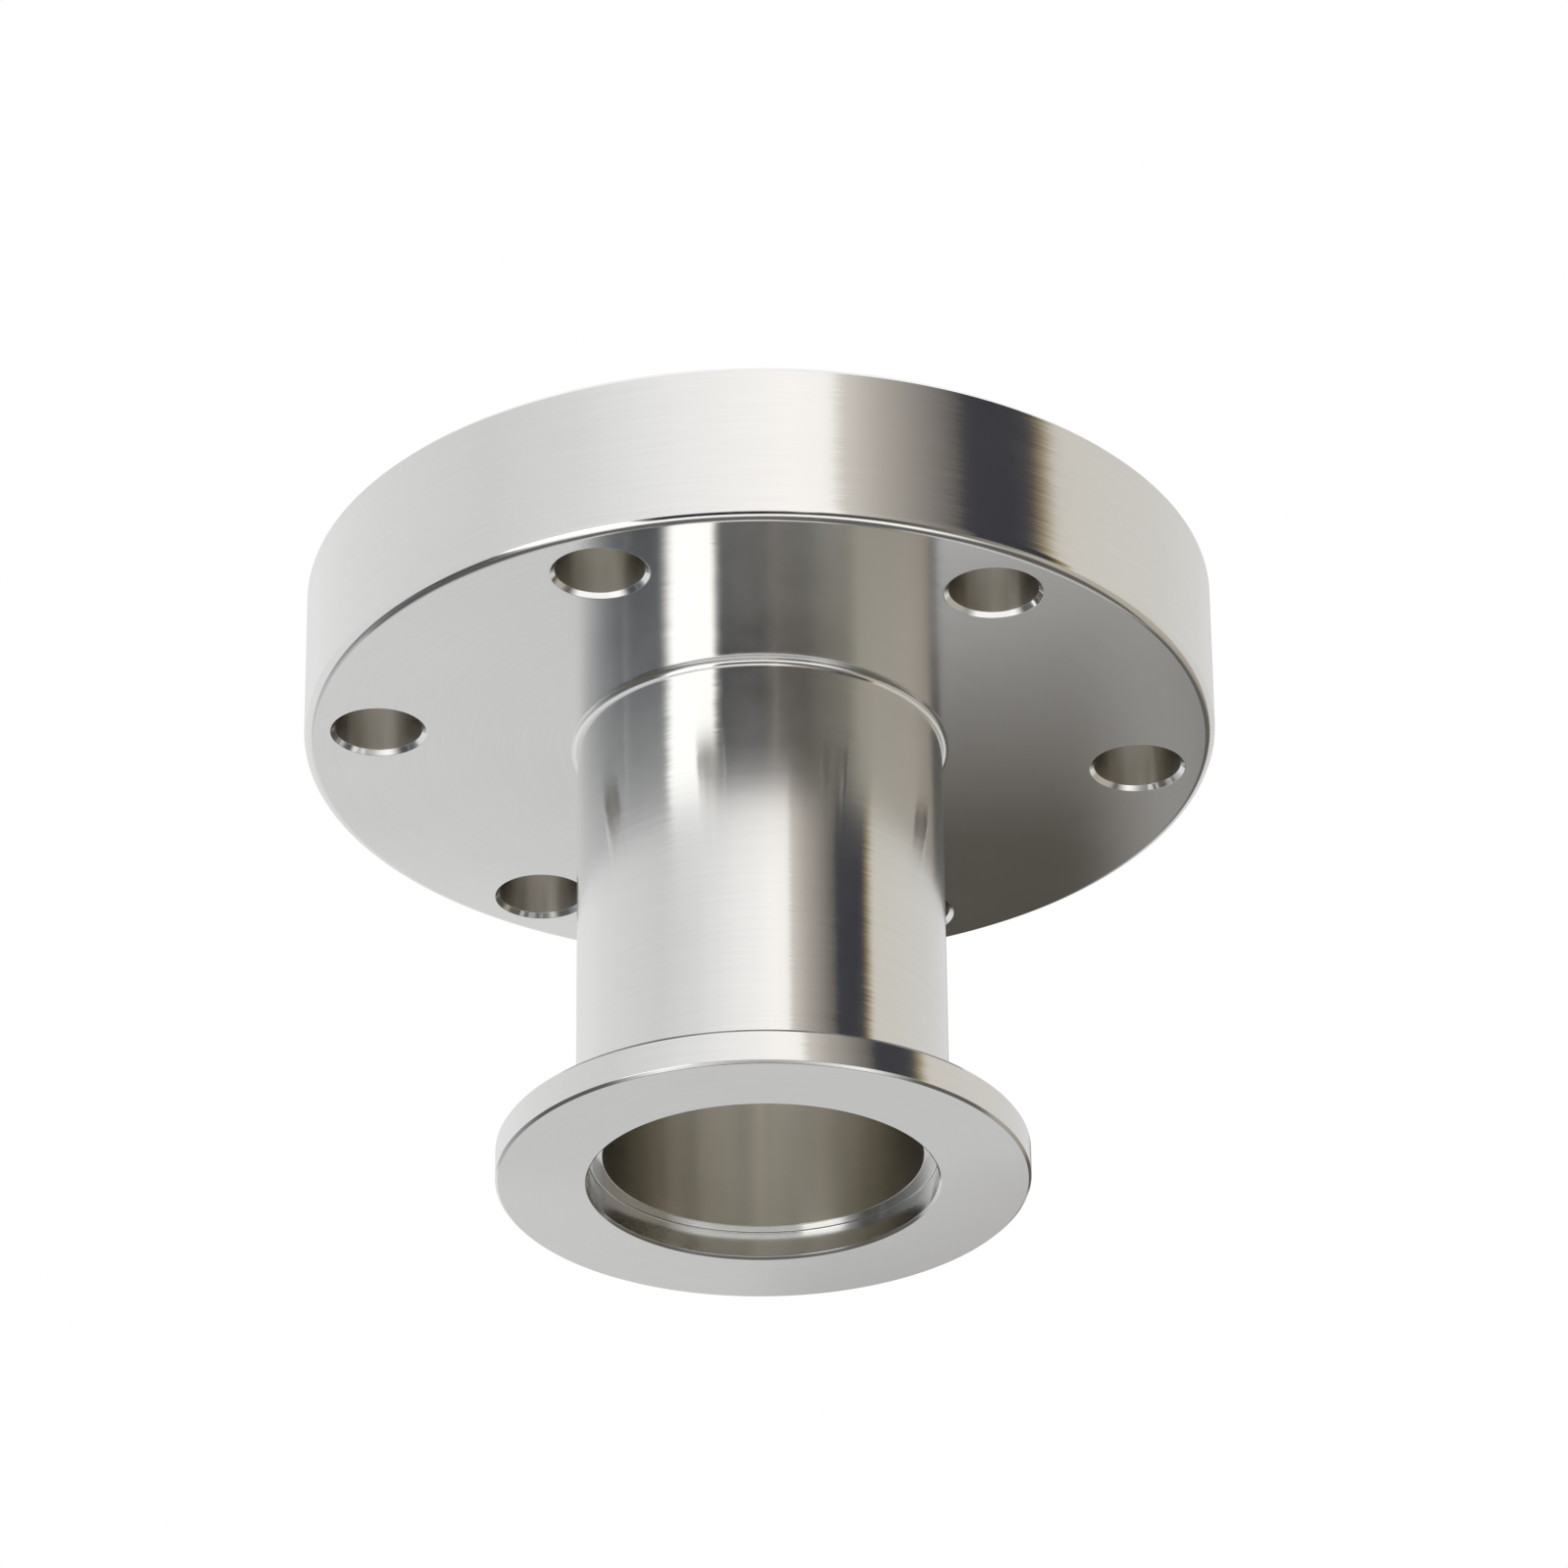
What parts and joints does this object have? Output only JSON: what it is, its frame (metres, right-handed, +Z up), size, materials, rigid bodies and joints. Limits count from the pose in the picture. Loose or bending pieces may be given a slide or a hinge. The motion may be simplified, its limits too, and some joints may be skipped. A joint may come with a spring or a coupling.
{
  "type": "adapter flange",
  "caption": "Straight vacuum adapter: a bolted knife-edge flange and a small quick-clamp flange joined by a short tube with an open bore, turned from one bar of stainless steel.",
  "frame": {"origin": "centre of the clamp flange's sealing face, which is the lowest face", "axes": "+Z up the bore from the clamp flange to the knife-edge flange; +X through a bolt hole"},
  "size_m": [0.07, 0.07, 0.05],
  "materials": {
    "turned_stainless": "fine turned and polished, near mirror"
  },
  "bodies": {
    "root": {"adapter_flange": "turned_stainless"}
  },
  "joints": []
}
